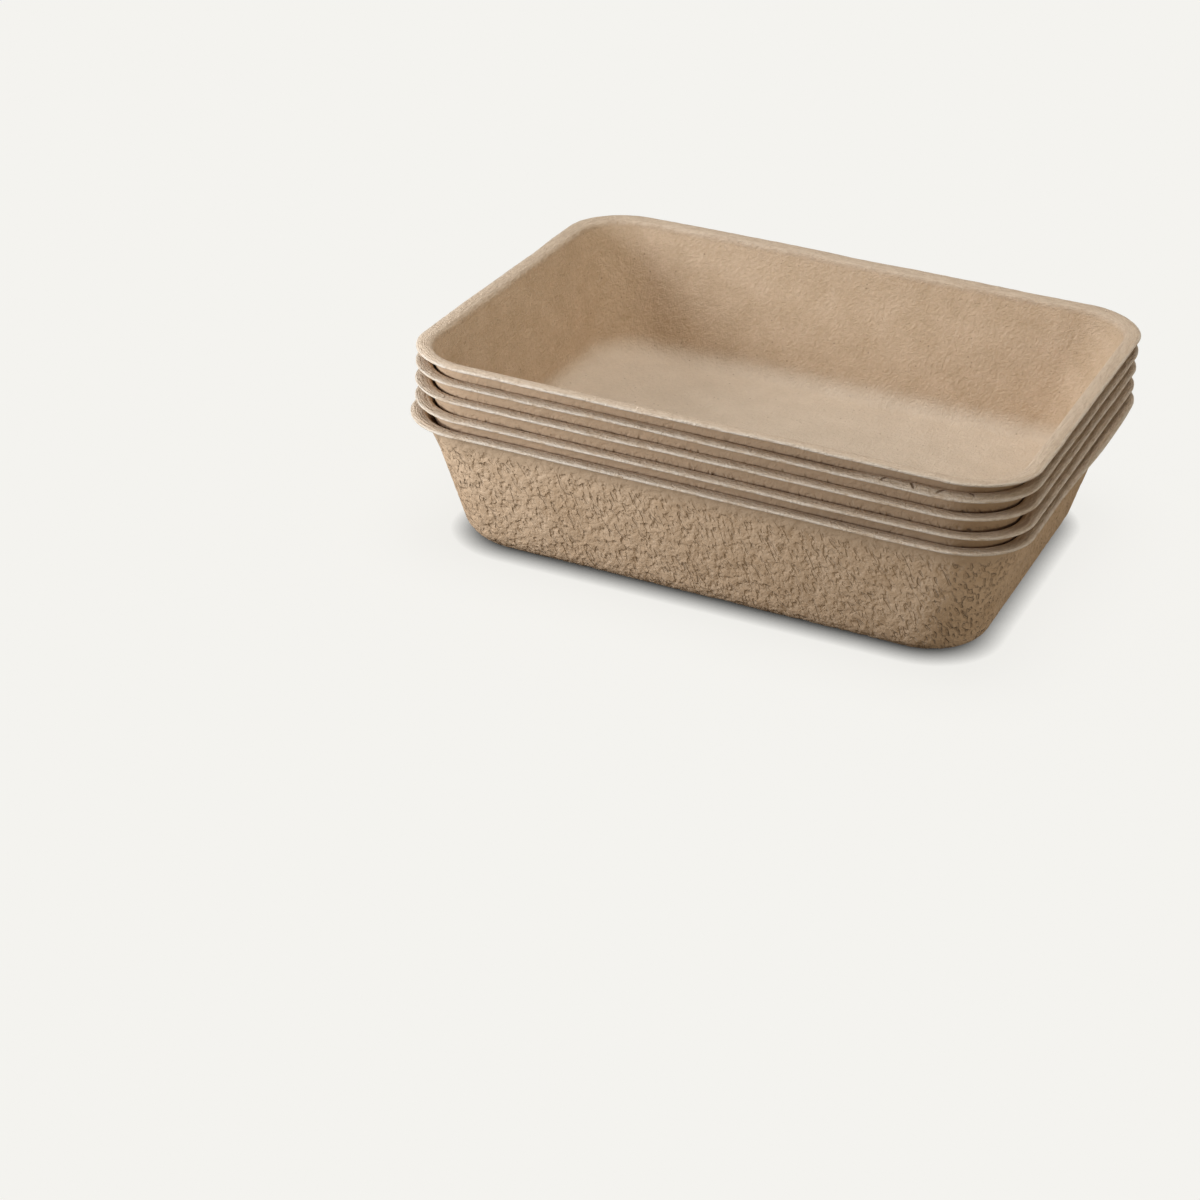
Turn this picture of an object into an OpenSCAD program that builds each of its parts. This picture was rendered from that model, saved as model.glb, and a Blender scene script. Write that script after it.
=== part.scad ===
// A stack of rectangular moulded-pulp trays, nested one in another.
// Each tray is one moulding: a flat floor, four leaning walls with round corners, and a flat rim.
// The origin is the centre of the bottom tray's base, +X runs along the trays and +Z is up.

/* [Tray] */
// Length of a tray over its rim
tray_length = 430; // [300:5:600]
// Width of a tray over its rim
tray_width = 331; // [220:1:450]
// Height of a tray from its base to the top of its rim
tray_height = 95; // [60:1:160]
// Radius of the rim's corners, seen from above
rim_corner = 49; // [40:1:80]

/* [Walls] */
// Thickness of the pulp in the walls and in the floor
wall = 2.35; // [1.6:0.05:3.5]
// How far an end wall leans in between the rim and the base
end_lean = 22; // [14:1:40]
// How far a side wall leans in between the rim and the base
side_lean = 25; // [14:1:40]
// How much the radius of the walls' corners grows from the rim down to the base
corner_growth = 3; // [0:1:8]
// Outer radius of the bend between the walls and the base
base_bend = 17.4; // [6:0.2:25]

/* [Rim] */
// Width of the flange from its edge to the outer wall
flange_width = 8.6; // [6:0.2:16]
// Thickness of the flange at its middle
flange_thickness = 2.2; // [1.6:0.1:3.5]
// How far the flange's top rises between its two edges
flange_crown = 0.4; // [0:0.1:1]
// Radius of the rounding from the flange's top into the inner wall
inner_roll = 3.5; // [2.5:0.5:8]
// Radius of the bend from the outer wall into the flange's underside
under_bend = 2.5; // [1:0.5:4]

/* [Stack] */
// Number of trays in the stack
tray_count = 5; // [1:1:8]
// Air between the walls of two trays that sit as close as they can
nest_clearance = 0.15; // [0.1:0.05:0.8]
// How much higher than that each tray above the bottom one sits
nest_slack = [0, 2.2, 1.4, 0.5]; // [0:0.1:4]

/* [Hidden] */

// Colour of the dry pulp
pulp = [0.76, 0.67, 0.55];

// Facets round a quarter of a corner, round the bend at the base and round the bends at the rim
corner_steps = 10;
base_steps = 4;
rim_steps = 3;
lip_steps = 4;
crown_steps = 4;

// Height of the flange's underside, which is where the straight part of the outer wall ends
wall_height = tray_height - flange_thickness;
// Height of the flange's top at its two edges
edge_height = tray_height - flange_crown;
// Radius of the round lip at the flange's edge
lip_radius = (edge_height - wall_height) / 2;

// Angles that the end walls and the side walls lean in from the upright
end_draft = atan(end_lean / wall_height);
side_draft = atan(side_lean / wall_height);
middle_draft = (end_draft + side_draft) / 2;

// Rise from one tray to the next at which their steeper walls are the clearance apart
closest_rise = (wall + nest_clearance) / sin(min(end_draft, side_draft));

// Height of a tray's base, where tray 1 is the bottom one
function seat_height(number) =
    number <= 1 ? 0
    : seat_height(number - 1) + closest_rise + nest_slack[(number - 2) % len(nest_slack)];

// Angles from one to another in equal steps, both ends included
function angles(from, to, steps) = [for (step = [0 : steps]) from + (to - from) * step / steps];

// Distance in from the rim's edge to the straight line of the outer wall, at a height
function line_inset(z, lean) = flange_width + lean * (wall_height - z) / wall_height;

// The same for the surface that lies a depth inside the outer one, with its bend into the base
function wall_inset(z, lean, draft, depth) =
    let (
        radius = base_bend - depth,
        centre = line_inset(base_bend, lean) + base_bend / cos(draft)
    )
    z >= base_bend - radius * sin(draft) ? line_inset(z, lean) + depth / cos(draft)
    : centre - sqrt(max(0, pow(radius, 2) - pow(base_bend - z, 2)));

// Distance in from the rim's edge to a bend whose arc ends level, and starts on a wall face
// that lies a depth inside the outer wall's line; side is 1 for a bend inside, -1 for one outside
function bend_inset(z, top, radius, lean, draft, depth) =
    let (
        centre_z = top - radius,
        centre = line_inset(centre_z, lean) + (depth - radius) / cos(draft)
    )
    centre + sqrt(max(0, pow(radius, 2) - pow(z - centre_z, 2)));

// Points of the section, each with its inset at the ends, its inset at the sides and its height
function wall_point(z, depth) =
    [wall_inset(z, end_lean, end_draft, depth), wall_inset(z, side_lean, side_draft, depth), z];

function bend_point(z, top, radius, depth) = [
    bend_inset(z, top, radius, end_lean, end_draft, depth),
    bend_inset(z, top, radius, side_lean, side_draft, depth),
    z
];

// Outer bend at the base, from the floor's underside up to the outer wall
outer_bend = [
    for (angle = angles(90, middle_draft, base_steps))
        wall_point(base_bend - base_bend * sin(angle), 0)
];

// Bend from the outer wall out to the flange's underside
flange_bend = [
    for (angle = angles(middle_draft, 90, rim_steps))
        bend_point(wall_height - under_bend + under_bend * sin(angle), wall_height, under_bend, 0)
];

// Round lip at the flange's edge, from its underside to its top
lip = [
    for (angle = angles(-90, 90, lip_steps))
        let (inset = lip_radius * (1 - cos(angle)))
        [inset, inset, wall_height + lip_radius * (1 + sin(angle))]
];

// Rounding from the flange's top down to the inner wall
roll = [
    for (angle = angles(90, middle_draft, rim_steps))
        bend_point(edge_height - inner_roll + inner_roll * sin(angle), edge_height, inner_roll, wall)
];

// Crowned top of the flange, between the lip and the rounding
crown = [
    for (step = [1 : crown_steps - 1])
        let (share = step / crown_steps)
        [
            lip_radius + (roll[0][0] - lip_radius) * share,
            lip_radius + (roll[0][1] - lip_radius) * share,
            edge_height + flange_crown * sin(180 * share)
        ]
];

// Inner bend, from the inner wall down to the floor
inner_bend = [
    for (angle = angles(middle_draft, 90, base_steps))
        wall_point(base_bend - (base_bend - wall) * sin(angle), wall)
];

// The whole section, from the middle of the base out, over the rim and in to the floor
section = concat(outer_bend, flange_bend, lip, crown, roll, inner_bend);

// Corner radius of the ring through a section point: the wall's own, less what the point is further in
function corner_radius(point) =
    let (
        line = (line_inset(point[2], end_lean) + line_inset(point[2], side_lean)) / 2,
        inset = (point[0] + point[1]) / 2,
        depth_share = (wall_height - point[2]) / wall_height
    )
    rim_corner - flange_width + corner_growth * depth_share + line - inset;

// Ring of points round the tray through a section point
function ring(point) =
    let (radius = corner_radius(point))
    [
        for (quarter = [0 : 3], step = [0 : corner_steps])
            let (
                angle = 90 * (quarter + step / corner_steps),
                to_right = quarter == 0 || quarter == 3 ? 1 : -1,
                to_back = quarter < 2 ? 1 : -1
            )
            [
                to_right * (tray_length / 2 - point[0] - radius) + radius * cos(angle),
                to_back * (tray_width / 2 - point[1] - radius) + radius * sin(angle),
                point[2]
            ]
    ];

ring_size = 4 * (corner_steps + 1);
last_ring = len(section) - 1;
tray_points = [for (point = section) each ring(point)];

// Two triangles for each step round each band between two rings
bands = [
    for (band = [0 : last_ring - 1], step = [0 : ring_size - 1])
        let (
            here = band * ring_size + step,
            beside = band * ring_size + (step + 1) % ring_size
        )
        each [[here, here + ring_size, beside + ring_size], [here, beside + ring_size, beside]]
];
base_face = [for (step = [0 : ring_size - 1]) step];
floor_face = [for (step = [ring_size - 1 : -1 : 0]) last_ring * ring_size + step];

// One tray, at its place in the stack
module tray(number) {
    color(pulp)
        translate([0, 0, seat_height(number)])
            polyhedron(points = tray_points, faces = concat(bands, [base_face, floor_face]), convexity = 10);
}

for (number = [1 : tray_count]) {
    tray(number);
}
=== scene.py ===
"""Looks of a nested stack of moulded-pulp trays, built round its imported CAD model.

Lengths are in metres. Each tray is lofted from the same section as its solid, with many more
rings, and then gets the warps of its rim, the lumps of its outer wall and the felt of its inside.
"""
import math

import bpy
import numpy as np
from mathutils import Matrix, Vector


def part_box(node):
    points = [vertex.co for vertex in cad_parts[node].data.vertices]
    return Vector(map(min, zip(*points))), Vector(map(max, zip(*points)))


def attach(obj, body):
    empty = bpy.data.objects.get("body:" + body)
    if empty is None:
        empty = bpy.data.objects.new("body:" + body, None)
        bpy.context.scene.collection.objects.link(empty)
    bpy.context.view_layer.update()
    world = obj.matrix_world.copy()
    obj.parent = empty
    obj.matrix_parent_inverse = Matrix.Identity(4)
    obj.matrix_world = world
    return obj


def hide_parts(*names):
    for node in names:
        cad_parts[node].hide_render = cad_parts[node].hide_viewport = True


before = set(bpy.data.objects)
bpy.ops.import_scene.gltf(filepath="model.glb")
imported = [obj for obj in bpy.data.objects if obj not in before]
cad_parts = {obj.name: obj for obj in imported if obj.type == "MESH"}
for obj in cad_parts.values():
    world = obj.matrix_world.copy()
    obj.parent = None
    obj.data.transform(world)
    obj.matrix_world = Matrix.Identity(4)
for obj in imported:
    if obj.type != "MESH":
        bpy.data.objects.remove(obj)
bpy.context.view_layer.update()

MM = 0.001

# The tray, in the same sizes as its solid
TRAY_LOW, TRAY_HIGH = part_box("tray_1")
LENGTH, WIDTH, HEIGHT = TRAY_HIGH - TRAY_LOW
RIM_CORNER = 49 * MM
WALL = 2.35 * MM
LEAN = np.array([22, 25]) * MM
CORNER_GROWTH = 3 * MM
BASE_BEND = 17.4 * MM
FLANGE_WIDTH = 8.6 * MM
FLANGE_THICKNESS = 2.2 * MM
FLANGE_CROWN = 0.4 * MM
INNER_ROLL = 3.5 * MM
UNDER_BEND = 2.5 * MM
TRAYS = ["tray_1", "tray_2", "tray_3", "tray_4", "tray_5"]
BOTTOM_TRAY, TOP_TRAY = TRAYS[0], TRAYS[-1]

WALL_HEIGHT = HEIGHT - FLANGE_THICKNESS
EDGE_HEIGHT = HEIGHT - FLANGE_CROWN
LIP_RADIUS = (EDGE_HEIGHT - WALL_HEIGHT) / 2
DRAFT = np.arctan(LEAN / WALL_HEIGHT)
MIDDLE_DRAFT = DRAFT.mean()


# Camera, at the photograph's angle

FOCAL_PIXELS = 2805.7
PHOTO_PIXELS = 1200
SENSOR_WIDTH = 36.0
CAMERA_AZIMUTH = math.radians(22.58)
CAMERA_ELEVATION = math.radians(27.88)
CAMERA_ROLL = math.radians(3.13)
CAMERA_DISTANCE = 1.85331
CAMERA_TARGET = Vector((-57.72, -162.81, 0)) * MM
CLIP_NEAR = 0.05
CLIP_FAR = 30


def make_camera():
    back = Vector((
        math.sin(CAMERA_AZIMUTH) * math.cos(CAMERA_ELEVATION),
        -math.cos(CAMERA_AZIMUTH) * math.cos(CAMERA_ELEVATION),
        math.sin(CAMERA_ELEVATION),
    ))
    level_right = (-back).cross(Vector((0, 0, 1))).normalized()
    level_up = level_right.cross(-back)
    right = level_right * math.cos(CAMERA_ROLL) + level_up * math.sin(CAMERA_ROLL)
    up = level_up * math.cos(CAMERA_ROLL) - level_right * math.sin(CAMERA_ROLL)
    turn = Matrix((right, up, back)).transposed().to_4x4()
    data = bpy.data.cameras.new("camera")
    data.sensor_width = SENSOR_WIDTH
    data.lens = FOCAL_PIXELS * SENSOR_WIDTH / PHOTO_PIXELS
    data.clip_start = CLIP_NEAR
    data.clip_end = CLIP_FAR
    camera = bpy.data.objects.new("camera", data)
    camera.matrix_world = Matrix.Translation(CAMERA_TARGET + back * CAMERA_DISTANCE) @ turn
    bpy.context.scene.collection.objects.link(camera)
    bpy.context.scene.camera = camera


# Section of a tray: stretches of points, each with its inset at the ends, at the sides and its height

def line_inset(z):
    """Inset of the outer wall's straight line from the rim's edge, at heights z."""
    return FLANGE_WIDTH + LEAN * (WALL_HEIGHT - z[:, None]) / WALL_HEIGHT


def wall_points(z, depth):
    """Points of the surface that lies a depth inside the outer one, with its bend into the base."""
    radius = BASE_BEND - depth
    centre = line_inset(np.array([BASE_BEND])) + BASE_BEND / np.cos(DRAFT)
    below = (BASE_BEND - z)[:, None]
    on_bend = centre - np.sqrt(np.maximum(0, radius**2 - below**2))
    on_wall = line_inset(z) + depth / np.cos(DRAFT)
    inset = np.where(below <= radius * np.sin(DRAFT), on_wall, on_bend)
    return np.column_stack([inset, z])


def bend_points(angles, top, radius, depth):
    """Points of a bend whose arc ends level at a height, from a wall face at a depth."""
    z = top - radius + radius * np.sin(angles)
    centre = line_inset(np.array([top - radius])) + (depth - radius) / np.cos(DRAFT)
    inset = centre + radius * np.cos(angles)[:, None]
    return np.column_stack([inset, z])


def steps(start, end, step):
    """Even values from start to end, both included, about a step apart."""
    return np.linspace(start, end, max(2, int(round(abs(end - start) / step)) + 1))


def outer_bend(arc_step):
    angles = steps(math.pi / 2, MIDDLE_DRAFT, arc_step / BASE_BEND)
    return wall_points(BASE_BEND * (1 - np.sin(angles)), 0)


def inner_bend(arc_step):
    radius = BASE_BEND - WALL
    angles = steps(MIDDLE_DRAFT, math.pi / 2, arc_step / radius)
    return wall_points(BASE_BEND - radius * np.sin(angles), WALL)


def flange_bend(arc_step):
    angles = steps(MIDDLE_DRAFT, math.pi / 2, arc_step / UNDER_BEND)
    return bend_points(angles, WALL_HEIGHT, UNDER_BEND, 0)


def roll(arc_step):
    angles = steps(math.pi / 2, MIDDLE_DRAFT, arc_step / INNER_ROLL)
    return bend_points(angles, EDGE_HEIGHT, INNER_ROLL, WALL)


def lip(arc_step):
    angles = steps(-math.pi / 2, math.pi / 2, arc_step / LIP_RADIUS)
    inset = LIP_RADIUS * (1 - np.cos(angles))
    return np.column_stack([inset, inset, WALL_HEIGHT + LIP_RADIUS * (1 + np.sin(angles))])


def between(start, end, step):
    """Points between two section points, both left out."""
    count = max(2, int(round(np.linalg.norm(end - start) / step)) + 1)
    share = np.linspace(0, 1, count)[1:-1, None]
    return start + (end - start) * share


def crown(step):
    """Crowned top of the flange, between the lip and the roll."""
    start, end = lip(LIP_RADIUS)[-1], roll(INNER_ROLL)[0]
    points = between(start, end, step)
    share = (points[:, 0] - start[0]) / (end[0] - start[0])
    points[:, 2] += FLANGE_CROWN * np.sin(math.pi * share)
    return points


# Columns round a tray, and the ring of points through a section point

def columns(corner, end, side):
    """Columns round the outline, from the middle of the corner at +X +Y on, anticlockwise from above.

    Each has its place along the ends and the sides, from 1 to -1, and its direction in a corner.
    """
    half = corner // 2
    angles = np.linspace(0, math.pi / 2, corner, endpoint=False)
    place, direction = [], []
    for quarter, (x, y) in enumerate([(1, 1), (-1, 1), (-1, -1), (1, -1)]):
        start = quarter * math.pi / 2
        place += [(x, y)] * corner
        direction += list(start + angles)
        run = side if quarter % 2 == 0 else end
        share = np.linspace(1, -1, run, endpoint=False)
        if quarter % 2 == 0:
            place += [(x * s, y) for s in share]
        else:
            place += [(x, y * s) for s in share]
        direction += [start + math.pi / 2] * run
    place, direction = np.array(place, float), np.array(direction)
    return np.roll(place, -half, axis=0), np.roll(direction, -half)


def corner_radius(points):
    """Radius of the ring through each section point: the wall's own, less what the point is further in."""
    z = points[:, 2]
    line = line_inset(z).mean(axis=1)
    share = (WALL_HEIGHT - z) / WALL_HEIGHT
    return RIM_CORNER - FLANGE_WIDTH + CORNER_GROWTH * share + line - points[:, :2].mean(axis=1)


def rings(points, place, direction):
    """Rings of points round the tray, one through each section point."""
    radius = corner_radius(points)[:, None]
    x = place[:, 0] * (LENGTH / 2 - points[:, :1] - radius) + radius * np.cos(direction)
    y = place[:, 1] * (WIDTH / 2 - points[:, 1:2] - radius) + radius * np.sin(direction)
    z = np.repeat(points[:, 2:], len(direction), axis=1)
    return np.stack([x, y, z], axis=2)


def floor_grid(ring, across, along):
    """Points of a grid inside a ring that starts at a corner: across by along cells, edges included."""
    far = ring[:across + 1]
    left = ring[across:across + along + 1]
    near = ring[across + along:2 * across + along + 1][::-1]
    right = np.vstack([ring[2 * across + along:], ring[:1]])[::-1]
    u = np.linspace(0, 1, across + 1)[:, None, None]
    v = np.linspace(0, 1, along + 1)[None, :, None]
    sides = (1 - v) * far[:, None] + v * near[:, None] + (1 - u) * right[None] + u * left[None]
    corners = ((1 - u) * (1 - v) * far[0] + u * (1 - v) * far[-1]
               + (1 - u) * v * near[0] + u * v * near[-1])
    return sides - corners


class Shell:
    """The mesh of one tray as it grows: its points, their section points and its faces."""

    def __init__(self):
        self.points, self.section, self.inside, self.shown = [], [], [], []
        self.faces, self.face_inside = [], []
        self.count = 0
        self.last = None

    def add_points(self, points, section, inside, shown):
        here = np.arange(self.count, self.count + len(points))
        self.count += len(points)
        self.points.append(points)
        self.section.append(np.repeat(section[None], len(points), axis=0))
        self.inside.append(np.full(len(points), inside))
        self.shown.append(np.full(len(points), shown))
        return here

    def add_face(self, face, inside):
        self.faces.append(face)
        self.face_inside.append(inside)

    def add_ring(self, ring, section, inside, shown):
        here = self.add_points(ring, section, inside, shown)
        if self.last is not None:
            self.join(self.last, here, inside)
        self.last = here

    def join(self, below, above, inside):
        """Faces between two rings, of which one may have a whole number of times the other's columns."""
        fine, coarse = (below, above) if len(below) >= len(above) else (above, below)
        ratio = len(fine) // len(coarse)
        for index in range(len(coarse)):
            beside = (index + 1) % len(coarse)
            span = [fine[(index * ratio + k) % len(fine)] for k in range(ratio + 1)]
            face = span + [coarse[beside], coarse[index]]
            self.add_face(face if fine is below else face[::-1], inside)

    def cap(self, across, along, upwards):
        """A grid that closes the last ring."""
        loop = self.last
        grid = floor_grid(self.points[-1], across, along)[1:-1, 1:-1]
        section, inside, shown = self.section[-1][0], self.inside[-1][0], self.shown[-1][0]
        inner = self.add_points(grid.reshape(-1, 3), section, inside, shown)
        ids = np.empty((across + 1, along + 1), int)
        ids[1:-1, 1:-1] = inner.reshape(grid.shape[:2])
        ids[:, 0] = loop[:across + 1]
        ids[-1, :] = loop[across:across + along + 1]
        ids[:, -1] = loop[across + along:2 * across + along + 1][::-1]
        ids[0, :] = np.append(loop[2 * across + along:], loop[0])[::-1]
        for i in range(across):
            for j in range(along):
                face = [ids[i, j], ids[i + 1, j], ids[i + 1, j + 1], ids[i, j + 1]]
                self.add_face(face if upwards else face[::-1], upwards)

    def finished(self):
        self.points, self.section = np.vstack(self.points), np.vstack(self.section)
        self.inside, self.shown = np.concatenate(self.inside), np.concatenate(self.shown)
        return self


# Rows of a tray, fine where it shows and coarse where other trays or the ground hide it

COARSE = 4
HIDDEN_STEP = 9 * MM
SHOWN_BAND = 19 * MM
SHOWN_ROLL = 9 * MM
BAND_STEP = 1.5 * MM
OUTER_STEP = 1.7 * MM
INNER_STEP = 2.4 * MM
LIP_STEP = 0.55 * MM
CROWN_STEP = 1.3 * MM
ROLL_STEP = 1.0 * MM
UNDER_STEP = 1.6 * MM

BOTTOM_COLUMNS = (56, 164, 232)
NESTED_COLUMNS = (40, 120, 176)


def outer_rows(whole):
    """Rows up the outer side to the lip, each with whether it is fine."""
    bend = outer_bend(OUTER_STEP if whole else HIDDEN_STEP)
    under = flange_bend(UNDER_STEP)
    low, high = bend[-1, 2], under[0, 2]
    shown = low if whole else HEIGHT - SHOWN_BAND
    rows = [(point, whole) for point in bend]
    if not whole:
        rows += [(point, False) for point in wall_points(steps(low, shown, HIDDEN_STEP)[1:], 0)]
    step = OUTER_STEP if whole else BAND_STEP
    rows += [(point, True) for point in wall_points(steps(shown, high, step)[1:-1], 0)]
    rows += [(point, True) for point in under]
    rows += [(point, True) for point in between(under[-1], lip(LIP_STEP)[0], UNDER_STEP)]
    return rows


def inner_rows(whole):
    """Rows over the lip and down the inner side, each with whether it is fine."""
    rolled = roll(ROLL_STEP)
    bend = inner_bend(INNER_STEP if whole else HIDDEN_STEP)
    high, low = rolled[-1, 2], bend[0, 2]
    shown = low if whole else HEIGHT - SHOWN_ROLL
    rows = [(point, True) for point in np.vstack([lip(LIP_STEP), crown(CROWN_STEP), rolled])]
    rows += [(point, True) for point in wall_points(steps(high, shown, INNER_STEP)[1:], WALL)]
    if not whole:
        rows += [(point, False) for point in wall_points(steps(shown, low, HIDDEN_STEP)[1:-1], WALL)]
        return rows + [(point, False) for point in bend]
    return rows + [(point, True) for point in bend[1:]]


def tray_shell(number):
    """Mesh of a tray before its warps, at the height of its own base."""
    corner, end, side = BOTTOM_COLUMNS if TRAYS[number] == BOTTOM_TRAY else NESTED_COLUMNS
    place, direction = columns(corner, end, side)
    outer = outer_rows(TRAYS[number] == BOTTOM_TRAY)
    inner = inner_rows(TRAYS[number] == TOP_TRAY)
    shell = Shell()
    for index, (point, fine) in enumerate(outer + inner):
        every = 1 if fine and index > 0 else COARSE
        ring = rings(point[None], place[::every], direction[::every])[0]
        shell.add_ring(ring, point, inside=index >= len(outer), shown=fine)
        if index == 0:
            shell.cap((side + corner) // COARSE, (end + corner) // COARSE, upwards=False)
    every = 1 if TRAYS[number] == TOP_TRAY else COARSE
    shell.cap((side + corner) // every, (end + corner) // every, upwards=True)
    return shell


# Warps, in metres, of the pressed and dried pulp

NOISE_CELLS = 256
NOISE_GAIN = 1.6


def soft_noise(points, size, seed):
    """Smooth noise from about -1 to 1, whose lumps have about a size, the same for the same seed."""
    chooser = np.random.default_rng(seed)
    order = np.tile(chooser.permutation(NOISE_CELLS), 3)
    slopes = chooser.normal(size=(NOISE_CELLS, 3))
    slopes /= np.linalg.norm(slopes, axis=1)[:, None]
    spot = points / size
    cell = np.floor(spot).astype(int)
    part = spot - cell
    fade = part**3 * (part * (part * 6 - 15) + 10)
    total = np.zeros(len(points))
    for corner in np.ndindex(2, 2, 2):
        here = (cell + corner) % NOISE_CELLS
        index = order[order[order[here[:, 0]] + here[:, 1]] + here[:, 2]]
        weight = np.where(corner, fade, 1 - fade).prod(axis=1)
        total += weight * (slopes[index] * (part - corner)).sum(axis=1)
    return total * NOISE_GAIN


def smooth_share(values, start, end):
    """Share from 0 at start to 1 at end, with soft ends."""
    share = np.clip((values - start) / (end - start), 0, 1)
    return share * share * (3 - 2 * share)


RIM_WAVE = 0.5 * MM
RIM_WAVE_LENGTH = 130 * MM
RIM_WAVE_DEPTH = 30 * MM
EDGE_WANDER = 0.5 * MM
EDGE_DROOP = 0.45 * MM
EDGE_WAVE_LENGTH = 48 * MM
EDGE_NIBBLE = 0.13 * MM
EDGE_NIBBLE_LENGTH = 6 * MM
LUMP_DEPTH = 1.0 * MM
LUMP_SIZE = np.array([5.0, 5.0, 4.4]) * MM
LUMP_TOP = 0.1
FELT_DEPTH = 0.2 * MM
FELT_SIZE = 6 * MM
PANEL_DEPTH = 0.5 * MM
PANEL_SIZE = 70 * MM

# How far from the ends and sides a corner starts and is whole, and its share at the left end
CORNER_START = 80 * MM
CORNER_FULL = 40 * MM
LEFT_CORNER = 0.3

# Fades between the zones of a tray, each from where a zone starts to where it is whole
RIM_DROP = (6 * MM, 1.5 * MM)
UNDER_EDGE_INSET = (3 * MM, 1 * MM)
LIP_INSET = (2.4 * MM, 0.7 * MM)
FLOOR_RISE = (19 * MM, WALL)
LUMP_DROP = (FLANGE_THICKNESS, 8 * MM)
NESTED_LUMP_DROP = (FLANGE_THICKNESS, 25 * MM)
FLANGE_DROP = FLANGE_THICKNESS * 1.2

# Where a rim bows outwards: tray, place in plan, reach and how far out, in metres
BOWED_OUT = [("tray_1", (-0.205, -0.150), 0.050, 0.0030), ("tray_1", (0.216, 0.060), 0.080, 0.0036),
             ("tray_1", (0.130, -0.165), 0.060, 0.0009)]
# Where the rim of one tray is lifted at its inner edge, at the front right
LIFTED_TRAY = "tray_4"
LIFT = 1.6 * MM
LIFT_FROM_X = (95 * MM, 135 * MM)
LIFT_FROM_Y = (-110 * MM, -140 * MM)
LIFT_INSET = (1 * MM, 5 * MM)
LIFT_DROP = (6 * MM, 2.4 * MM)

# Seeds set aside for each tray
SEEDS_A_TRAY = 100


def corner_share(points):
    """Up to 1 around the upright corners, less at the left end, and 0 along the straight sides."""
    far = np.abs(points[:, :2])
    half = np.array([LENGTH, WIDTH]) / 2
    right = smooth_share(points[:, 0], -half[0] / 4, half[0] / 4)
    near = smooth_share(far, half - CORNER_START, half - CORNER_FULL).prod(axis=1)
    return near * (LEFT_CORNER + (1 - LEFT_CORNER) * right)


def shape_shares(shell, rise_above, topmost):
    """Shares of each point in the zones of a tray: rim, inner side, lip and what shows."""
    inset, z = shell.section[:, :2].mean(axis=1), shell.section[:, 2]
    drop = HEIGHT - z
    on_flange = drop < FLANGE_DROP
    on_top = smooth_share(drop, *RIM_DROP)
    under_edge = smooth_share(inset, *UNDER_EDGE_INSET) * on_flange
    rim = np.where(shell.inside, on_top, under_edge)
    return {
        "rim": rim,
        "inner": np.where(shell.inside, 1 - rim, 0),
        "lip": smooth_share(inset, *LIP_INSET) * on_flange,
        "inset": inset,
        "drop": drop / HEIGHT,
        "floor": np.where(shell.inside, smooth_share(z, *FLOOR_RISE), 0),
        "shown": shell.shown.astype(float),
        "tuck": (drop - rise_above) / MM,
        "corner": corner_share(shell.points),
        "topmost": np.full(len(z), float(topmost)),
    }


def warp(points, normals, shell, shares, number):
    """Moves the points of a tray from their pressed places to where the dried pulp has gone."""
    seed = SEEDS_A_TRAY * number
    inset, drop = shell.section[:, :2].mean(axis=1), HEIGHT - shell.section[:, 2]
    flat = points * [1, 1, 0]
    out = points / [LENGTH, WIDTH, 1] * [1, 1, 0]
    out /= np.maximum(np.linalg.norm(out, axis=1), 1e-9)[:, None]
    near_rim = smooth_share(drop, RIM_WAVE_DEPTH, 0) * np.where(shares["shown"] > 0, 1, 0)
    flange = smooth_share(inset, FLANGE_WIDTH, 0) * (drop < FLANGE_DROP)
    moved = points.copy()
    moved[:, 2] += RIM_WAVE * near_rim * soft_noise(flat, RIM_WAVE_LENGTH, seed + 1)
    droop = EDGE_DROOP * soft_noise(flat, EDGE_WAVE_LENGTH, seed + 2)
    wander = EDGE_WANDER * soft_noise(flat, EDGE_WAVE_LENGTH, seed + 3)
    nibble = EDGE_NIBBLE * soft_noise(points, EDGE_NIBBLE_LENGTH, seed + 8)
    moved[:, 2] += flange * (droop + nibble)
    moved += out * (flange * (wander + nibble))[:, None]
    for tray, place, reach, bow in BOWED_OUT:
        if tray == TRAYS[number]:
            away = np.linalg.norm(points[:, :2] - place, axis=1)
            moved += out * (near_rim * bow * np.exp(-(away / reach) ** 2))[:, None]
    if TRAYS[number] == LIFTED_TRAY:
        lifted = smooth_share(points[:, 0], *LIFT_FROM_X) * smooth_share(points[:, 1], *LIFT_FROM_Y)
        lifted *= smooth_share(inset, *LIFT_INSET) * smooth_share(drop, *LIFT_DROP)
        moved[:, 2] += LIFT * lifted
    outer = (1 - shares["inner"]) * (1 - shares["rim"]) * shares["shown"]
    outer *= smooth_share(drop, *(LUMP_DROP if TRAYS[number] == BOTTOM_TRAY else NESTED_LUMP_DROP))
    lumps = soft_noise(points / LUMP_SIZE, 1, seed + 4) + 0.5 * soft_noise(points / LUMP_SIZE, 0.5, seed + 5)
    along = LUMP_DEPTH * outer * np.minimum(lumps, LUMP_TOP)
    felt = shares["shown"] * shares["inner"]
    along += FELT_DEPTH * felt * soft_noise(points, FELT_SIZE, seed + 6)
    along += PANEL_DEPTH * felt * soft_noise(points, PANEL_SIZE, seed + 7) * (TRAYS[number] == TOP_TRAY)
    return moved + normals * along[:, None]


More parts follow.
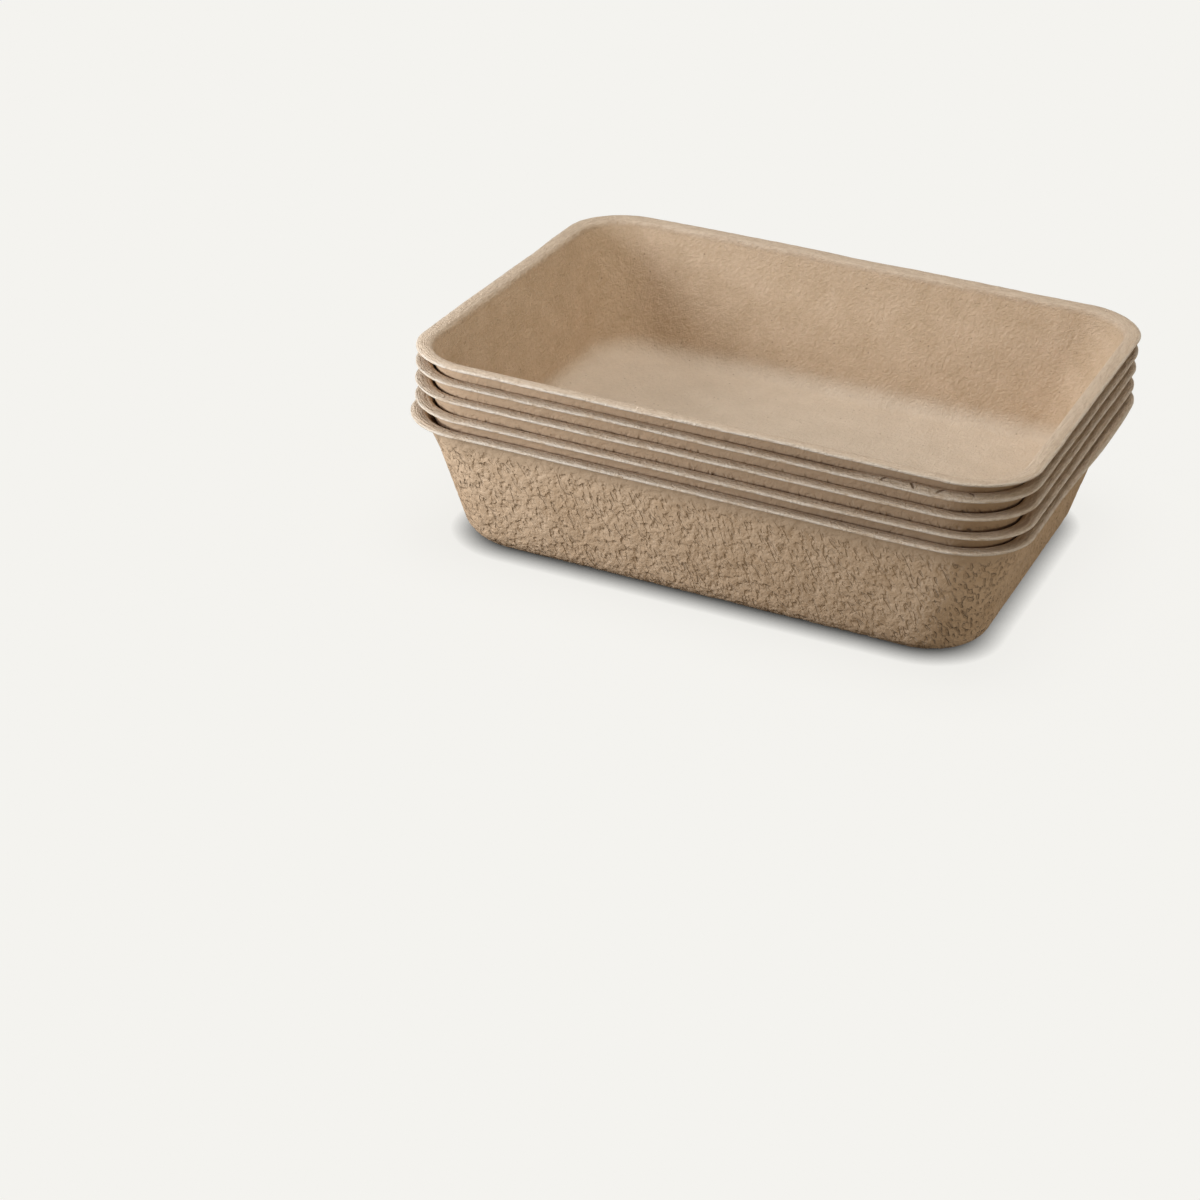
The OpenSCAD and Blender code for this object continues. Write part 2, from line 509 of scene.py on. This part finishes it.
def make_tray(number, outside, inside):
    """One tray of the stack, warped and in its place."""
    name = TRAYS[number]
    shell = tray_shell(number).finished()
    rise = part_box(name)[0][2]
    points = shell.points + [0, 0, rise]
    mesh = bpy.data.meshes.new("pulp_" + name)
    mesh.from_pydata(points.tolist(), [], shell.faces)
    mesh.update()
    normals = np.empty(len(points) * 3)
    mesh.vertex_normals.foreach_get("vector", normals)
    rise_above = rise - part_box(TRAYS[number - 1])[0][2] if number > 0 else 2 * HEIGHT
    shares = shape_shares(shell, rise_above, topmost=name == TOP_TRAY)
    points = warp(points, normals.reshape(-1, 3), shell, shares, number)
    mesh.vertices.foreach_set("co", points.ravel())
    mesh.polygons.foreach_set("use_smooth", np.ones(len(mesh.polygons), bool))
    for share_name in ("rim", "lip", "drop", "floor", "tuck", "corner", "topmost", "inset"):
        attribute = mesh.attributes.new(share_name, "FLOAT", "POINT")
        attribute.data.foreach_set("value", shares[share_name].astype(np.float32))
    mesh.materials.append(outside)
    mesh.materials.append(inside)
    mesh.polygons.foreach_set("material_index", np.array(shell.face_inside, np.int32))
    mesh.update()
    tray = bpy.data.objects.new("pulp_" + name, mesh)
    bpy.context.scene.collection.objects.link(tray)
    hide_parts(name)
    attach(tray, "root")
    return tray


# Finish of the pulp

class Tree:
    """Adds nodes to a tree. A value of an input is a number, a colour or another node's output."""

    def __init__(self, tree):
        self.tree = tree

    def node(self, kind, inputs=None, **settings):
        node = self.tree.nodes.new("ShaderNode" + kind)
        for name, value in settings.items():
            setattr(node, name, value)
        for name, value in (inputs or {}).items():
            self.fill(node.inputs[name], value)
        return node

    def fill(self, socket, value):
        if isinstance(value, bpy.types.NodeSocket):
            self.tree.links.new(value, socket)
        else:
            socket.default_value = value

    def math(self, operation, *values, clamp=False):
        node = self.node("Math", operation=operation, use_clamp=clamp)
        for socket, value in zip(node.inputs, values):
            self.fill(socket, value)
        return node.outputs[0]

    def between(self, value, low, high, to_low=0.0, to_high=1.0):
        """The value from low to high as a soft share from to_low to to_high."""
        inputs = {"Value": value, "From Min": low, "From Max": high, "To Min": to_low, "To Max": to_high}
        return self.node("MapRange", inputs, interpolation_type="SMOOTHSTEP").outputs["Result"]

    def mix(self, share, first, second):
        node = self.node("Mix", data_type="RGBA")
        for socket, value in zip((node.inputs[0], node.inputs[6], node.inputs[7]), (share, first, second)):
            self.fill(socket, value)
        return node.outputs[2]

    def stretch(self, vector, times, turn=(0.0, 0.0, 0.0), place=(0.0, 0.0, 0.0)):
        """Makes a texture that many times longer along its own axes, which are turned and moved."""
        inputs = {"Vector": vector, "Scale": times, "Rotation": turn, "Location": place}
        return self.node("Mapping", inputs, vector_type="TEXTURE").outputs["Vector"]

    def noise(self, vector, scale, detail=2.0, roughness=0.5, distortion=0.0):
        inputs = {"Vector": vector, "Scale": scale, "Detail": detail, "Roughness": roughness,
                  "Distortion": distortion}
        return self.node("TexNoise", inputs)

    def place(self, group, inputs):
        node = self.tree.nodes.new("ShaderNodeGroup")
        node.node_tree = group
        for name, value in inputs.items():
            self.fill(node.inputs[name], value)
        return node.outputs


def start_group(name, inputs, outputs):
    """A new node group: its tree, the outputs of its input node and the inputs of its output node."""
    group = bpy.data.node_groups.new(name, "ShaderNodeTree")
    for socket_name, value in inputs.items():
        kind = "Vector" if value is None else ("Color" if isinstance(value, tuple) else "Float")
        socket = group.interface.new_socket(socket_name, in_out="INPUT", socket_type="NodeSocket" + kind)
        if value is not None:
            socket.default_value = value
    for socket_name, kind in outputs.items():
        group.interface.new_socket(socket_name, in_out="OUTPUT", socket_type="NodeSocket" + kind)
    enter = group.nodes.new("NodeGroupInput").outputs
    leave = group.nodes.new("NodeGroupOutput").inputs
    return group, Tree(group), enter, leave


CREASE_LEAN = (0.15, -0.4, 0.0)
CREASE_SCALE = 400.0
CREASE_LENGTH = (1.0, 1.0, 3.2)
DENT_LENGTH = (1.0, 1.0, 1.5)
FIBRE_LENGTH = (1.0, 1.0, 4.5)
FIBRE_TURNS = ((0.3, 0.5, 0.2), (1.2, 0.4, 1.0), (0.6, 1.4, 2.1))


def fibre_grain():
    """Short fibres that lie every way, as a height from 0 to 1."""
    group, tree, enter, leave = start_group(
        "fibre grain", {"Vector": None, "Scale": 600.0}, {"Height": "Float"})
    layers = []
    for turn in FIBRE_TURNS:
        lengths = tree.stretch(enter["Vector"], FIBRE_LENGTH, turn)
        layers.append(tree.noise(lengths, enter["Scale"], 3.0, 0.55).outputs["Fac"])
    highest = tree.math("MAXIMUM", tree.math("MAXIMUM", layers[0], layers[1]), layers[2])
    tree.fill(leave["Height"], tree.between(highest, 0.4, 0.75))
    return group


def mottling():
    """Cloudy changes of tone at two sizes, from 0 to 1 about a half."""
    group, tree, enter, leave = start_group(
        "mottling", {"Vector": None, "Scale": 150.0, "Contrast": 1.0}, {"Tone": "Float"})
    small = tree.noise(enter["Vector"], enter["Scale"], 4.0, 0.6).outputs["Fac"]
    large = tree.noise(enter["Vector"], tree.math("MULTIPLY", enter["Scale"], 0.13), 2.0).outputs["Fac"]
    both = tree.math("SUBTRACT", tree.math("ADD", small, large), 1.0)
    tree.fill(leave["Tone"], tree.math("MULTIPLY_ADD", both, enter["Contrast"], 0.5, clamp=True))
    return group


def dry_creases():
    """Short creases that run down the wall, as a mask from 0 to 1."""
    group, tree, enter, leave = start_group(
        "dry creases", {"Vector": None, "Scale": CREASE_SCALE, "Amount": 0.5}, {"Mask": "Float"})
    lengths = tree.stretch(enter["Vector"], CREASE_LENGTH, CREASE_LEAN)
    field = tree.noise(lengths, enter["Scale"], 0.6, 0.35).outputs["Fac"]
    limit = tree.math("MULTIPLY_ADD", enter["Amount"], 0.2, 0.34)
    tree.fill(leave["Mask"], tree.between(field, limit, tree.math("SUBTRACT", limit, 0.16)))
    return group


def dried_pebbles():
    """Pebbly lumps with flattened tops, as a height from 0 to 1, and soft-sided dents as a mask."""
    group, tree, enter, leave = start_group(
        "dried pebbles", {"Vector": None, "Scale": 300.0}, {"Height": "Float", "Dents": "Float"})
    cloud = tree.noise(enter["Vector"], enter["Scale"], 2.0, 0.45, 0.3).outputs["Fac"]
    tree.fill(leave["Height"], tree.math("SMOOTH_MIN", cloud, 0.56, 0.2))
    size = tree.math("MULTIPLY", enter["Scale"], 0.85)
    shape = tree.noise(tree.stretch(enter["Vector"], DENT_LENGTH, CREASE_LEAN), size, 1.0, 0.4)
    tree.fill(leave["Dents"], tree.between(shape.outputs["Fac"], 0.5, 0.3))
    return group


def torn_crease():
    """One short tear at a place, with ragged sides, as a mask from 0 to 1."""
    inputs = {"Vector": None, "Place": None, "Turn": None, "Size": None}
    group, tree, enter, leave = start_group("torn crease", inputs, {"Mask": "Float"})
    own = tree.stretch(enter["Vector"], enter["Size"], enter["Turn"], enter["Place"])
    off = tree.node("VectorMath", {0: own}, operation="LENGTH").outputs["Value"]
    ragged = tree.noise(enter["Vector"], 500.0, 1.0).outputs["Fac"]
    off = tree.math("MULTIPLY_ADD", ragged, 0.7, off)
    tree.fill(leave["Mask"], tree.between(off, 1.3, 0.6))
    return group


def dark_specks():
    """Sparse dark specks, as a mask from 0 to 1."""
    group, tree, enter, leave = start_group(
        "dark specks", {"Vector": None, "Scale": 300.0, "Share": 0.05}, {"Mask": "Float"})
    cells = tree.node("TexVoronoi", {"Vector": enter["Vector"], "Scale": enter["Scale"]}).outputs
    dots = tree.between(cells["Distance"], 0.28, 0.12)
    chance = tree.node("SeparateColor", {0: cells["Color"]}).outputs[0]
    chosen = tree.math("LESS_THAN", chance, enter["Share"])
    tree.fill(leave["Mask"], tree.math("MULTIPLY", dots, chosen))
    return group


OUTER_PALE = (0.66, 0.462, 0.292, 1.0)
OUTER_BROWN = (0.50, 0.326, 0.186, 1.0)
# Painted shade: the outer wall darker just below the rim, where the rim overhangs it
OUTER_SHADE_UNDER_RIM = (0.50, 0.343, 0.21, 1.0)
# Painted shade: the brown laid into the creases and dents for the shade inside them
CREASE_SHADE_BROWN = (0.26, 0.155, 0.085, 1.0)
# Painted shade: the dark brown of the crevice where a tray sits in the one below, also used inside the tears
CREVICE_SHADE_BROWN = (0.16, 0.09, 0.05, 1.0)
# Painted light and shade: the inside walls get a more orange shaded copy of the pulp's colour, the floor a
# paler lit copy
WALL_SHADE_PALE = (0.68, 0.505, 0.345, 1.0)
WALL_SHADE_BROWN = (0.55, 0.395, 0.25, 1.0)
FLOOR_LIT_PALE = (0.68, 0.55, 0.416, 1.0)
FLOOR_LIT_BROWN = (0.60, 0.477, 0.352, 1.0)
SPECK_BROWN = (0.27, 0.17, 0.11, 1.0)
# Painted shade: the rims of the lower trays, under the lip of the tray above, are a darker copy of the top
# tray's rim colours
LOWER_RIM_SHADE_PALE = (0.65, 0.50, 0.355, 1.0)
LOWER_RIM_SHADE_BROWN = (0.51, 0.375, 0.25, 1.0)
TOP_RIM_PALE = (0.66, 0.513, 0.37, 1.0)
TOP_RIM_BROWN = (0.575, 0.432, 0.305, 1.0)
# Pale lip: partly its own pale fuzzy fibres, partly a painted highlight along the rounded edge
LIP_PALE_AND_HIGHLIGHT = (0.65, 0.54, 0.42, 1.0)

# Scales of the textures
OUTSIDE_GRAIN_SCALE = 420.0
INSIDE_GRAIN_SCALE = 520.0
PEBBLE_SCALE = 330.0
STREAK_SCALE = 330.0
STREAK_LENGTH = (1.0, 1.0, 2.1)
CRUMB_SCALE = 650.0
CRUMB_SIZE = (7.0, 7.0, 7.0)
OUTSIDE_TONE = {"Scale": 240.0, "Contrast": 1.2}
INSIDE_TONE = {"Scale": 400.0, "Contrast": 1.3}

# How much of its brown each mark is painted with
# Painted shade in the dents and creases, more at the corners
DENT_SHADE_PAINT = 0.06
CREASE_SHADE_PAINT = 0.14
CORNER_CREASE_SHADE_PAINT = 0.2
# Painted shade in the crevice where trays nest
CREVICE_SHADE_PAINT = 0.85
SPECK_PAINT = 0.5
# Painted shade inside the tears
TEAR_SHADE_PAINT = 0.8

# Heights and depths of the relief, in millimetres
OUTSIDE_GRAIN_HEIGHT = 0.2
DENT_DEPTH = 0.8
CREASE_DEPTH = 1.0
CORNER_CREASE_DEPTH = 0.7
INSIDE_GRAIN_HEIGHT = 0.42
STREAK_HEIGHT = 1.5
SMOOTHED_AWAY = 0.3
CRUMB_HEIGHT = 1.7
TEAR_DEPTH = 1.4


def start_material(name):
    """A new material without nodes, and its tree."""
    material = bpy.data.materials.new(name)
    material.use_nodes = True
    material.node_tree.nodes.clear()
    return material, Tree(material.node_tree)


def finish_pulp(tree, colour, height, grain):
    """Dull paper surface with that colour and a height in millimetres."""
    bump = tree.node("Bump", {"Height": height, "Distance": MM}).outputs["Normal"]
    roughness = tree.between(grain, 0.0, 1.0, 0.88, 0.98)
    shader = tree.node("BsdfPrincipled", {
        "Base Color": colour, "Roughness": roughness, "Specular IOR Level": 0.2, "Normal": bump})
    output = tree.node("OutputMaterial")
    tree.fill(output.inputs["Surface"], shader.outputs["BSDF"])


def wrinkled_outside(fibres, cloud):
    """The side of the pulp that dried in the air: lumps, dents and creases, with painted shade in the
    creases and dents, just below the rim and in the crevice where trays nest.
    """
    material, tree = start_material("wrinkled_pulp")
    vector = tree.node("TexCoord").outputs["Object"]
    drop = tree.node("Attribute", attribute_name="drop").outputs["Fac"]
    corner = tree.node("Attribute", attribute_name="corner").outputs["Fac"]
    below_rim = tree.between(drop, 0.09, 0.2)
    grain = tree.place(fibres, {"Vector": vector, "Scale": OUTSIDE_GRAIN_SCALE})["Height"]
    pebbles = tree.place(dried_pebbles(), {"Vector": vector, "Scale": PEBBLE_SCALE})
    creased = tree.math("MAXIMUM", corner, tree.between(drop, 0.6, 0.95))
    amount = tree.math("MULTIPLY_ADD", creased, 0.12, 0.42)
    creases = tree.place(dry_creases(), {"Vector": vector, "Amount": amount})["Mask"]
    creases = tree.math("MULTIPLY", creases, tree.between(drop, 0.1, 0.2))
    dents = tree.math("MULTIPLY", pebbles["Dents"], tree.math("MULTIPLY_ADD", below_rim, 0.9, 0.1))
    tone = tree.place(cloud, {"Vector": vector, **OUTSIDE_TONE})["Tone"]
    colour = tree.mix(tone, OUTER_BROWN, OUTER_PALE)
    # Painted shade under the rim: the wall turns darker towards the rim
    colour = tree.mix(tree.between(drop, 0.22, 0.12), colour, OUTER_SHADE_UNDER_RIM)
    # Painted shade: the creases and dents are painted darker, more at the corners, for the shade inside them
    deep = tree.math("MULTIPLY_ADD", corner, CORNER_CREASE_SHADE_PAINT, CREASE_SHADE_PAINT)
    dark = tree.math("MULTIPLY_ADD", dents, DENT_SHADE_PAINT, tree.math("MULTIPLY", creases, deep))
    colour = tree.mix(dark, colour, CREASE_SHADE_BROWN)
    # Painted shade: a dark line on the wall just above where it sits in the tray below, where the crevice
    # lies in shade
    tuck = tree.node("Attribute", attribute_name="tuck").outputs["Fac"]
    crevice_shade = tree.between(tuck, 0.4, 2.2)
    colour = tree.mix(tree.math("MULTIPLY", crevice_shade, CREVICE_SHADE_PAINT), colour, CREVICE_SHADE_BROWN)
    height = tree.math("MULTIPLY", pebbles["Height"], tree.math("MULTIPLY_ADD", below_rim, 0.8, 0.55))
    height = tree.math("MULTIPLY_ADD", grain, OUTSIDE_GRAIN_HEIGHT, height)
    height = tree.math("MULTIPLY_ADD", dents, -DENT_DEPTH, height)
    depth = tree.math("MULTIPLY_ADD", corner, -CORNER_CREASE_DEPTH, -CREASE_DEPTH)
    height = tree.math("MULTIPLY_ADD", creases, depth, height)
    finish_pulp(tree, colour, height, grain)
    return material


# Tears across the rim of tray_4 at the front right: place in mm, turn in radians and half length in mm
TEARS = [((126.5, -160.8, 132.0), 0.9, 4.4), ((145.0, -161.2, 132.0), 2.2, 4.6),
         ((163.5, -160.9, 132.0), 0.8, 5.0), ((181.5, -156.5, 132.0), 2.6, 4.6),
         ((195.5, -140.5, 132.0), 0.4, 6.0)]
TEAR_WIDTH = 1.35
TEAR_REACH = 4.0


def felted_inside(fibres, cloud):
    """The side of the pulp that lay on the mould: felt inside, crumbly on the rim and paler at the lip,
    partly as a painted highlight. Light and shade are painted in too: the walls are a shaded copy of the
    floor's colour, the lower rims a shaded copy of the top one's, and the tears are painted with shade.
    """
    material, tree = start_material("felted_pulp")
    vector = tree.node("TexCoord").outputs["Object"]
    rim = tree.node("Attribute", attribute_name="rim").outputs["Fac"]
    lip = tree.node("Attribute", attribute_name="lip").outputs["Fac"]
    grain = tree.place(fibres, {"Vector": vector, "Scale": INSIDE_GRAIN_SCALE})["Height"]
    streaks = tree.noise(tree.stretch(vector, STREAK_LENGTH), STREAK_SCALE, 4.0, 0.7).outputs["Fac"]
    tone = tree.place(cloud, {"Vector": vector, **INSIDE_TONE})["Tone"]
    felt_tone = tree.math("MULTIPLY_ADD", tree.math("SUBTRACT", streaks, 0.5), 0.9, tone, clamp=True)
    specks = tree.place(dark_specks(), {"Vector": vector})["Mask"]
    on_floor = tree.node("Attribute", attribute_name="floor").outputs["Fac"]
    # Painted light and shade: the floor is painted as lit pulp, the walls as shaded pulp
    felt = tree.mix(felt_tone, tree.mix(on_floor, WALL_SHADE_BROWN, FLOOR_LIT_BROWN),
                    tree.mix(on_floor, WALL_SHADE_PALE, FLOOR_LIT_PALE))
    felt = tree.mix(tree.math("MULTIPLY", specks, SPECK_PAINT), felt, SPECK_BROWN)
    across = tree.node("Attribute", attribute_name="inset").outputs["Fac"]
    along_rim = tree.stretch(vector, CRUMB_SIZE)
    across = tree.node("CombineXYZ", {"Z": across}).outputs["Vector"]
    along_rim = tree.node("VectorMath", {0: along_rim, 1: across}, operation="ADD").outputs["Vector"]
    crumbs = tree.noise(along_rim, CRUMB_SCALE, 3.0, 0.7).outputs["Fac"]
    topmost = tree.node("Attribute", attribute_name="topmost").outputs["Fac"]
    # Painted shade: the lower trays' rims take the darker copy, the top tray's rim the lit one
    pressed = tree.mix(tree.between(crumbs, 0.36, 0.6), tree.mix(topmost, LOWER_RIM_SHADE_BROWN, TOP_RIM_BROWN),
                       tree.mix(topmost, LOWER_RIM_SHADE_PALE, TOP_RIM_PALE))
    # The lip is painted paler, partly for its pale fibres and partly as a painted highlight where the
    # rounded edge catches the light, broken up by the crumbs
    pale_lip_highlight = tree.math("MULTIPLY", lip, tree.between(crumbs, 0.3, 0.6))
    pressed = tree.mix(pale_lip_highlight, pressed, LIP_PALE_AND_HIGHLIGHT)
    colour = tree.mix(rim, felt, pressed)
    torn = 0.0
    tear = torn_crease()
    for place, turn, length in TEARS:
        size = (length * MM, TEAR_WIDTH * MM, TEAR_REACH * MM)
        inputs = {"Vector": vector, "Place": Vector(place) * MM, "Turn": (0.0, 0.0, turn), "Size": size}
        torn = tree.math("MAXIMUM", torn, tree.place(tear, inputs)["Mask"])
    # The tears are real and cut in by the bump below; the dark brown in them is painted shade
    colour = tree.mix(tree.math("MULTIPLY", torn, TEAR_SHADE_PAINT), colour, CREVICE_SHADE_BROWN)
    smooth = tree.math("MAXIMUM", rim, on_floor)
    height = tree.math("MULTIPLY", streaks, tree.math("MULTIPLY_ADD", smooth, -SMOOTHED_AWAY, STREAK_HEIGHT))
    height = tree.math("MULTIPLY_ADD", crumbs, tree.math("MULTIPLY", rim, CRUMB_HEIGHT), height)
    height = tree.math("MULTIPLY_ADD", torn, -TEAR_DEPTH, height)
    height = tree.math("MULTIPLY_ADD", grain, INSIDE_GRAIN_HEIGHT, height)
    finish_pulp(tree, colour, height, grain)
    return material


# Floor, lamps and sky

BACKGROUND = (0.905, 0.896, 0.863, 1.0)
FLOOR_SIZE = 30.0
FLOOR_GAP = 0.2 * MM
FLOOR_BOUNCE = (0.46, 0.45, 0.43, 1.0)
# Painted contact shadow on the floor: how far the ambient occlusion reaches and how much of the seen floor
# it darkens
CONTACT_REACH = 15 * MM
CONTACT_SHARE = 0.9
CONTACT_SAMPLES = 8
RENDER_SAMPLES = 64
TOP_LAMP = {"strength": 0.47 * math.pi, "spread": 40.0, "turn": 0.0, "height": 90.0}
SIDE_LAMP = {"strength": 0.22 * math.pi, "spread": 22.0, "turn": -14.0, "height": 27.0}
RIGHT_LAMP = {"strength": 0.15 * math.pi, "spread": 30.0, "turn": 137.0, "height": 15.0,
              "colour": (1.02, 0.94, 0.76)}
NEAR_LAMP_POWER = 3.3
NEAR_LAMP_SIZE = 0.18
NEAR_LAMP_COLOUR = (0.92, 1.03, 1.2)
NEAR_LAMP_PLACE = Vector((-0.48, -0.54, 0.28))
NEAR_LAMP_AIM = Vector((-0.06, -0.17, 0.06))
SKY_LEVEL = 0.28


def seen_share(tree):
    """1 for what the camera sees, also through or in something, and 0 for light that bounces."""
    path = tree.node("LightPath").outputs
    seen = tree.math("MAXIMUM", path["Is Camera Ray"], path["Is Glossy Ray"])
    return tree.math("MAXIMUM", seen, path["Is Transmission Ray"])


def make_floor():
    """White floor. The camera sees the background's colour on it, with a painted contact shadow from ambient
    occlusion close to the stack.
    """
    material, tree = start_material("studio_floor")
    lit = tree.node("BsdfDiffuse", {"Color": FLOOR_BOUNCE}).outputs["BSDF"]
    shaded = tree.node("BsdfDiffuse", {"Color": BACKGROUND}).outputs["BSDF"]
    reach = {"Color": BACKGROUND, "Distance": CONTACT_REACH}
    # Painted shadow: the floor's glow is darkened by ambient occlusion close to the stack
    open_sky = tree.node("AmbientOcclusion", reach, samples=CONTACT_SAMPLES).outputs["Color"]
    level = TOP_LAMP["strength"] / math.pi + SKY_LEVEL
    glow = (1 - (1 - CONTACT_SHARE) * level) / CONTACT_SHARE
    painted_contact_shadow = tree.node("Emission", {"Color": open_sky, "Strength": glow}).outputs["Emission"]
    seen = tree.node("MixShader", {0: CONTACT_SHARE, 1: shaded, 2: painted_contact_shadow}).outputs["Shader"]
    surface = tree.node("MixShader", {0: seen_share(tree), 1: lit, 2: seen}).outputs["Shader"]
    output = tree.node("OutputMaterial")
    tree.fill(output.inputs["Surface"], surface)
    half = FLOOR_SIZE / 2
    corners = [(x * half, y * half, -FLOOR_GAP) for x, y in ((-1, -1), (1, -1), (1, 1), (-1, 1))]
    mesh = bpy.data.meshes.new("studio_floor")
    mesh.from_pydata(corners, [], [(0, 1, 2, 3)])
    mesh.materials.append(material)
    floor = bpy.data.objects.new("studio_floor", mesh)
    bpy.context.scene.collection.objects.link(floor)


def make_lamp(name, strength, spread, turn, height, colour=(1.0, 1.0, 1.0)):
    """A soft sun. Its turn is from the picture's left towards the camera, its height above the floor."""
    turn, height = math.radians(turn) + CAMERA_AZIMUTH, math.radians(height)
    level = math.cos(height)
    towards = Vector((-math.cos(turn) * level, -math.sin(turn) * level, math.sin(height)))
    lamp = bpy.data.lights.new(name, "SUN")
    lamp.energy = strength
    lamp.color = colour
    lamp.angle = math.radians(spread)
    sun = bpy.data.objects.new(name, lamp)
    sun.rotation_euler = towards.to_track_quat("Z", "Y").to_euler()
    bpy.context.scene.collection.objects.link(sun)
    return sun


def make_near_lamp():
    """A small softbox close to the stack's near left, so that its light fades along the front."""
    lamp = bpy.data.lights.new("near_lamp", "AREA")
    lamp.energy = NEAR_LAMP_POWER
    lamp.color = NEAR_LAMP_COLOUR
    lamp.size = NEAR_LAMP_SIZE
    box = bpy.data.objects.new("near_lamp", lamp)
    box.location = NEAR_LAMP_PLACE
    box.rotation_euler = (NEAR_LAMP_PLACE - NEAR_LAMP_AIM).to_track_quat("Z", "Y").to_euler()
    box.visible_camera = False
    bpy.context.scene.collection.objects.link(box)
    return box


def light_only(lamps, trays):
    """Keeps these lamps off the floor, so that only the top lamp and the sky throw a shadow on it."""
    lit = bpy.data.collections.new("lit_from_the_side")
    for tray in trays:
        lit.objects.link(tray)
    for lamp in lamps:
        lamp.light_linking.receiver_collection = lit


def make_sky():
    world = bpy.data.worlds.new("studio_sky")
    world.use_nodes = True
    world.node_tree.nodes.clear()
    tree = Tree(world.node_tree)
    colour = tree.mix(seen_share(tree), (SKY_LEVEL, SKY_LEVEL, SKY_LEVEL, 1.0), BACKGROUND)
    shader = tree.node("Background", {"Color": colour})
    output = tree.node("OutputWorld")
    tree.fill(output.inputs["Surface"], shader.outputs["Background"])
    bpy.context.scene.world = world


def set_render():
    scene = bpy.context.scene
    scene.render.engine = "CYCLES"
    scene.cycles.samples = RENDER_SAMPLES
    scene.cycles.use_denoising = True
    scene.view_settings.view_transform = "Standard"
    scene.render.resolution_x = PHOTO_PIXELS
    scene.render.resolution_y = PHOTO_PIXELS


make_camera()
fibres, cloud = fibre_grain(), mottling()
outside, inside = wrinkled_outside(fibres, cloud), felted_inside(fibres, cloud)
trays = [make_tray(number, outside, inside) for number in range(len(TRAYS))]
make_floor()
make_lamp("top_lamp", **TOP_LAMP)
side_lamps = [make_lamp("side_lamp", **SIDE_LAMP), make_lamp("right_lamp", **RIGHT_LAMP), make_near_lamp()]
light_only(side_lamps, trays)
make_sky()
set_render()
